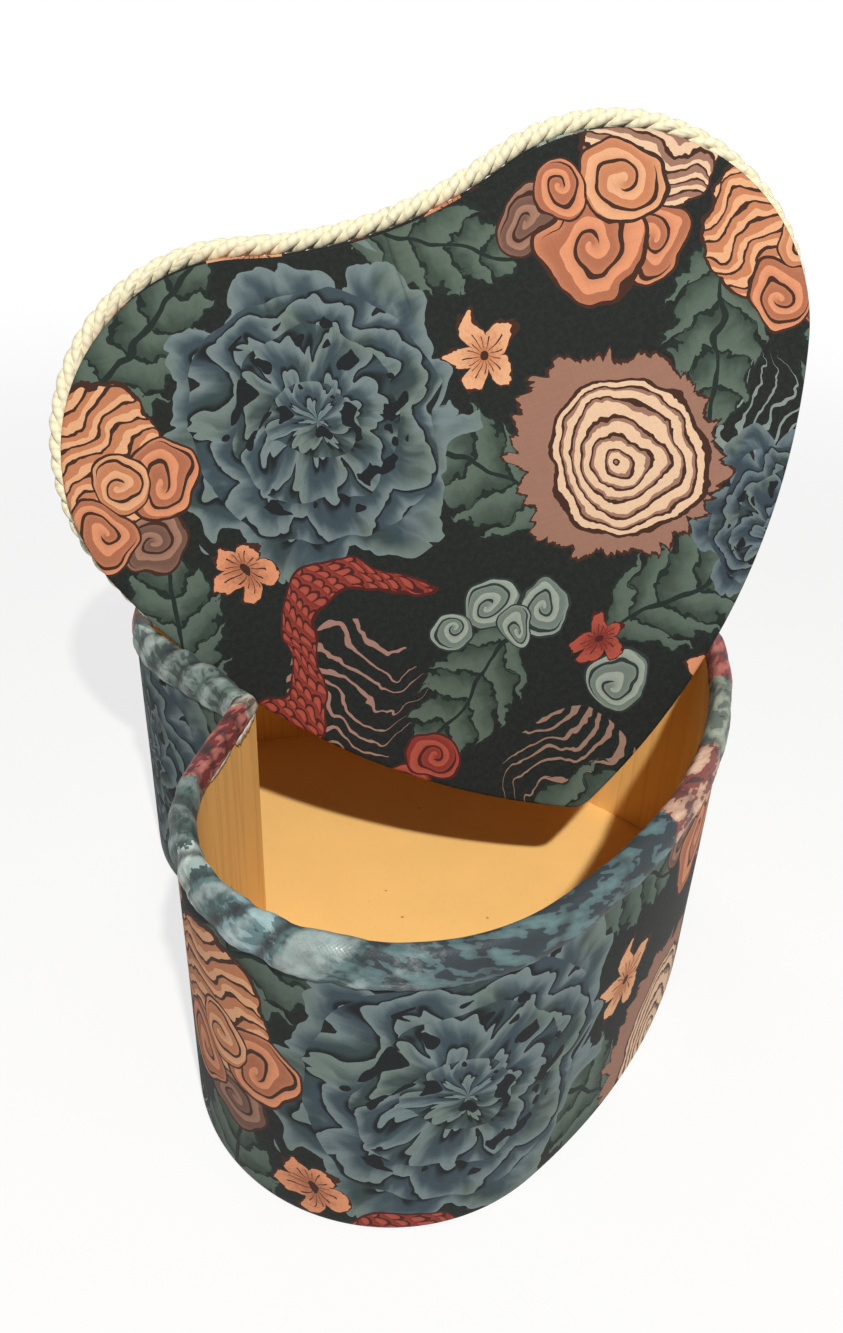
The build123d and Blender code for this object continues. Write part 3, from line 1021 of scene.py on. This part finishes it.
bm = covered_heart(lid_plan, face_profile, spacing=1.0, ripple=pulled_cloth)
stand(bm)
lined_face = piece_from(bm, "lined_face", lining_cotton)
thicken(lined_face, LINING)
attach(lined_face, "lid")
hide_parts("lining_cloth")

# %% [markdown]
# The outer side of the lid is padded: wadding on a second card, under cotton
# that is pulled over it and turned in. It is one soft skin here, which stands
# for the wadding and the cloth. Its low crown comes from rings that rise
# towards the middle. A short cloth simulation then swells it: the turned-in
# edge is held, pressure stands for the wadding, and gravity is off. The skin
# puckers by itself where it is held, which is what pulled cotton does.

# %% The padded top
RISE = 3.5  # towards the cleft, as the top card is glued
top_profile = [
    (5.4, 2.72), (2.9, 2.66), (2.25, 2.85), (2.1, 3.4), (2.1, 4.6), (2.15, 5.6), (2.5, 6.5),
    (3.3, 7.1), (4.8, 7.55),
]
CROWN = [7.75, 7.9, 8.0, 8.1, 8.16, 8.2, 8.24, 8.27, 8.29, 8.3, 8.3, 8.3, 8.3]


def swell_up(piece, held_below, pressure, frames, most):
    """Simulate a skin under pressure; vertices at or below a depth into the lid stay put."""
    start = [v.co.copy() for v in piece.data.vertices]
    lay_down = stand_up.inverted()
    held = piece.vertex_groups.new(name="held")
    for number, place in enumerate(start):
        above = held_below - (lay_down @ (place / MM)).z
        held.add([number], min(1.0, max(0.0, above / 0.8)), "REPLACE")
    cloth = piece.modifiers.new("wadding", "CLOTH")
    for name, value in {
        "vertex_group_mass": "held", "quality": 6, "mass": 0.15, "tension_stiffness": 8,
        "compression_stiffness": 8, "shear_stiffness": 4, "bending_stiffness": 0.02,
        "use_pressure": True, "uniform_pressure_force": pressure,
    }.items():
        setattr(cloth.settings, name, value)
    cloth.settings.effector_weights.gravity = 0
    cloth.collision_settings.use_collision = False
    for number in range(1, frames + 1):
        bpy.context.scene.frame_set(number)
    swollen = piece.evaluated_get(bpy.context.evaluated_depsgraph_get()).data
    moves = [after.co - before for after, before in zip(swollen.vertices, start)]
    piece.modifiers.remove(cloth)
    piece.vertex_groups.remove(held)
    bpy.context.scene.frame_set(1)
    for vert, before, move in zip(piece.data.vertices, start, moves):
        if move.length > most * MM:
            move = move.normalized() * most * MM
        vert.co = before + move
    lengths = np.array([move.length for move in moves]) / MM
    print(f"padding swelled: {lengths.mean():.2f} mm on average, {lengths.max():.2f} at most")


def padded_cloth(ring, s, at):
    pleat = 0.16 * max(0.0, 1 - abs(ring) / 5) * sin(s * 1.15 + 4 * swell((s, 0, 0), 0.04))
    return 0.35 * (swell((at.x, at.y, 3), 0.05) - 0.5) + pleat


bm = covered_heart(lid_plan, top_profile, spacing=1.5, depths=CROWN, ripple=padded_cloth)
bmesh.ops.translate(bm, verts=bm.verts[:], vec=(0, RISE, 0))
stand(bm)
padded_top = piece_from(bm, "padded_top", top_cotton)
swell_up(padded_top, held_below=7.2, pressure=1.5, frames=16, most=1.2)
thicken(padded_top, CLOTH)
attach(padded_top, "lid")
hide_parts("top_cloth", "wadding")


# %% [markdown]
# The cord is three cream strands twisted together, glued into the step between
# the two cards. Its route is a closed NURBS spline round the lid. Each strand
# winds round the points read from that spline and is given a round section, so
# the strands bite into each other as real ones do.

# %% The cord's route
CORD_INSET, CORD_DEPTH = -0.4, 5.1


def closed_curve(kind, points, **settings):
    """The mesh of a closed spline through the points."""
    curve = bpy.data.curves.new("route", "CURVE")
    curve.dimensions = "3D"
    for name, value in settings.items():
        setattr(curve, name, value)
    spline = curve.splines.new(kind)
    spline.points.add(len(points) - 1)
    spline.points.foreach_set("co", np.hstack([points, np.ones((len(points), 1))]).ravel())
    spline.order_u = 3
    spline.use_cyclic_u = True
    drawn = add_object("route", curve)
    bpy.context.view_layer.update()
    mesh = bpy.data.meshes.new_from_object(drawn)
    bpy.data.objects.remove(drawn)
    bpy.data.curves.remove(curve)
    return mesh


bm = bmesh.new()
chain = trace(bm, lid_plan, CORD_INSET, CORD_DEPTH, spacing=6.0)[:-1]
bmesh.ops.translate(bm, verts=chain, vec=(0, RISE, 0))
stand(bm)
route = closed_curve("NURBS", [v.co for v in chain], resolution_u=12)
bm.free()
line = np.array([v.co for v in route.vertices])
bpy.data.meshes.remove(route)
closed = np.vstack([line, line[:1]])
steps = np.linalg.norm(np.diff(closed, axis=0), axis=1)
print("cord's route:", len(line), "points,", round(steps.sum(), 1), "mm")

# %% The twisted strands
STRANDS, STRAND_RADIUS, STRAND_OFF = 3, 1.18, 1.06
LAY, STEPS_PER_TURN = 13.4, 18  # how long one turn of a strand is, and its points
station = np.concatenate([[0.0], np.cumsum(steps)])
turns_round = round(station[-1] / LAY)
count = turns_round * STEPS_PER_TURN
wanted = np.linspace(0, station[-1], count, endpoint=False)
path = np.stack([np.interp(wanted, station, closed[:, k]) for k in range(3)], 1)
tangent = np.roll(path, -1, 0) - np.roll(path, 1, 0)
deep = np.array(into_lid)
beside = np.cross(tangent, deep)
beside /= np.linalg.norm(beside, axis=1)[:, None]
bm = bmesh.new()
for strand in range(STRANDS):
    angle = 2 * pi * (turns_round * np.arange(count) / count + strand / STRANDS)
    offset = np.cos(angle)[:, None] * beside + np.sin(angle)[:, None] * deep
    wound = path + STRAND_OFF * offset
    mesh = closed_curve("POLY", wound, bevel_depth=STRAND_RADIUS, bevel_resolution=2)
    section = len(mesh.vertices) // count
    ring, spoke = np.divmod(np.arange(len(mesh.vertices)), section)
    places = np.stack([wanted[ring], spoke / section, np.full(len(ring), strand)], 1)
    marks = mesh.attributes.new("cloth", "FLOAT_VECTOR", "POINT")
    marks.data.foreach_set("vector", places.ravel())
    bm.from_mesh(mesh)
    bpy.data.meshes.remove(mesh)
print("strands:", len(bm.faces), "faces")


# %% The cord's yarn
w = Group("twisted_yarn", {"Cloth": ORIGIN, "Color": GREY}, ("Color", "Height"))
cloth, colour = w.given
along, turn, number = w.split(cloth)
fibre = w.noise(w.join(along + turn * 2.0, turn * 14.0, number), 1.6, 3.0, 0.6)
ridge = ((along * 0.55 + turn).fraction() * pi).sine() * 0.7
# painted shade: the yarn is painted darker in the grooves of its twist; the fibre noise is the
# yarn's own tone
tone = w.fade(ridge + fibre * 0.5, 0.2, 0.95, 0.80, 1.0)
w.give(Color=w.vector("SCALE", colour, tone), Height=ridge + fibre * 0.6)

w = Finish("cord_yarn")
spun = w.use("twisted_yarn", Cloth=w.attribute("cloth"), Color=paint(240, 231, 198))
look = {"Base Color": spun["Color"], "Roughness": 0.62, "Sheen Weight": 0.2}
w.surface(look, spun["Height"], strength=0.6, distance=0.00018)
twisted_cord = piece_from(bm, "twisted_cord", w.material)
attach(twisted_cord, "lid")
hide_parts("cord")


# %% [markdown]
# The card inside is unbleached straw board: warm tan, matt, with short darker
# fibres and a few specks. The wall and the lid's cards are grey board. Both
# are one node group with different colours. The CAD pieces keep their own
# meshes and only get a material.

# %% Card and its fibres
w = Group("board_fibres", {"Place": ORIGIN, "Color": GREY, "Fibre": GREY}, SURFACE)
place, body, fibre = w.given
millimetres = w.vector("SCALE", place, 1 / MM)
cloudy = w.noise(millimetres, 0.06, 3.0, 0.6)
grain = w.noise(w.vector("MULTIPLY", millimetres, (1.0, 1.0, 0.35)), 1.4, 4.0, 0.7)
flecks = w.noise(w.vector("MULTIPLY", millimetres, (0.9, 2.2, 1.4)), 0.9)
specks = w.node("TexVoronoi", {"Vector": millimetres, "Scale": 0.09}, "Distance")
body = w.vector("SCALE", body, cloudy * 0.12 + 0.9 + grain * 0.08)
body = w.mix(w.fade(flecks, 0.68, 0.8, 0.0, 0.25), body, fibre)
body = w.mix((specks < 0.035) * 0.6, body, fibre)
w.give(Color=body, Height=grain, Roughness=w.fade(grain, 0.3, 0.7, 0.72, 0.88))


def board(name, colour, fibre, creased=False):
    """Card of a colour. Card that was bent round a wall has faint upright creases."""
    w = Finish(name)
    place = w.node("TexCoord", output="Object")
    card = w.use("board_fibres", Place=place, Color=colour, Fibre=fibre)
    colour, height = card["Color"], card["Height"]
    if creased:
        bent = w.noise(w.vector("MULTIPLY", place, (210.0, 210.0, 7.0)), 1.0)
        crease = w.fade(abs(bent - 0.5), 0.0, 0.05, 1.0, 0.0)
        colour = w.mix(crease * 0.16, colour, fibre)
        height = height - crease * 0.8
    look = {"Base Color": colour, "Roughness": card["Roughness"], "Specular IOR Level": 0.2}
    w.surface(look, height, strength=0.4, distance=0.00004)
    return w.material


straw_floor = board("straw_floor", paint(246, 199, 123), paint(150, 100, 50))
straw_liner = board("straw_liner", paint(238, 190, 116), paint(150, 100, 50), creased=True)
torn_paper.data.materials.append(board("torn_paper", paint(236, 232, 220), paint(206, 196, 176)))
grey_board = board("grey_board", paint(150, 142, 130), paint(90, 84, 76))
cards = {"floor_card": straw_floor, "liner_card": straw_liner}
for name in ("floor_card", "liner_card", "wall_card", "base_board", "lining_card", "lid_card"):
    nodes[name].data.materials.clear()
    nodes[name].data.materials.append(cards.get(name, grey_board))


# %% [markdown]
# The object stands on a plain pale floor. A small key lamp above the camera
# casts the hard shadows inside the box, a large weak lamp fills in from behind,
# and the sky is dim and white. The eye sees the sky as plain white, and the
# floor nearly so, while the floor keeps the object's shadow.

# %% Floor, sky and lamps
def seen(w):
    """1 for the rays that bring the scene to the eye, also by gloss or through glass."""
    rays = w.outputs(w.node("LightPath"))
    return rays["Is Camera Ray"] | rays["Is Glossy Ray"] | rays["Is Transmission Ray"]


w = Finish("floor_paper")
w.surface({"Base Color": (0.86, 0.86, 0.86, 1), "Roughness": 0.9})
distance = w.vector("LENGTH", w.node("TexCoord", output="Object"))
share = seen(w) * w.fade(distance, 0.2, 0.8, 0.75, 1.0)
blend = w.node("MixShader", (share, Wire(w, w.shader.outputs[0]), w.node("Emission")))
w.put(w.tree.nodes["Material Output"].inputs["Surface"], blend)

bm = bmesh.new()
bmesh.ops.create_grid(bm, x_segments=2, y_segments=2, size=6000)
bmesh.ops.translate(bm, verts=bm.verts[:], vec=(0, 0, -0.2))
piece_from(bm, "pale_floor", w.material, outwards=False)

world = bpy.data.worlds.new("studio")
bpy.context.scene.world = world
world.use_nodes = True
w = Wiring(world.node_tree)
background = world.node_tree.nodes["Background"]
w.put(background.inputs["Strength"], seen(w) * 0.92 + 0.08)
w.put(background.inputs["Color"], (1, 1, 1, 1))


def lamp(name, towards, distance, size, power, colour=(1, 1, 1)):
    """A square lamp that shines along the direction given, at the box."""
    data = bpy.data.lights.new(name, "AREA")
    data.size, data.energy, data.color = size, power, colour
    made = add_object(name, data)
    way = Vector(towards).normalized()
    made.location = Vector((0, -0.01, 0.07)) - way * distance
    made.visible_camera = False
    made.rotation_mode = "QUATERNION"
    made.rotation_quaternion = way.to_track_quat("-Z", "Y")


WARM = (1.0, 0.975, 0.94)
lamp("key", (0.634, -0.050, -0.772), distance=0.65, size=0.021, power=4.9, colour=WARM)
lamp("fill", (-0.93, 0.10, -0.30), distance=1.6, size=1.3, power=11.0)

# %% [markdown]
# The camera repeats the photograph's: its place and turn were fitted to the
# outlines of the box and the lid. The picture is upright, so the lens is given
# for its height.

# %% Camera
PICTURE_HEIGHT = 1333  # pixels of the photograph
camera_data = bpy.data.cameras.new("camera")
camera_data.lens, camera_data.sensor_width = 27.63, 36.0
camera_data.shift_x, camera_data.shift_y = -2.3 / PICTURE_HEIGHT, 2.4 / PICTURE_HEIGHT
camera_data.clip_start, camera_data.clip_end = 0.005, 50
camera = add_object("camera", camera_data)
right = Vector((-0.3128, -0.9492, 0.0353)).normalized()
back = Vector((-0.8179, 0.2881, 0.4981)).normalized()
up = back.cross(right).normalized()
turned = Matrix((up.cross(back), up, back)).transposed().to_4x4()
camera.matrix_world = Matrix.Translation((-0.1701, 0.0432, 0.1677)) @ turned
bpy.context.scene.camera = camera
bpy.context.scene.view_settings.view_transform = "Standard"
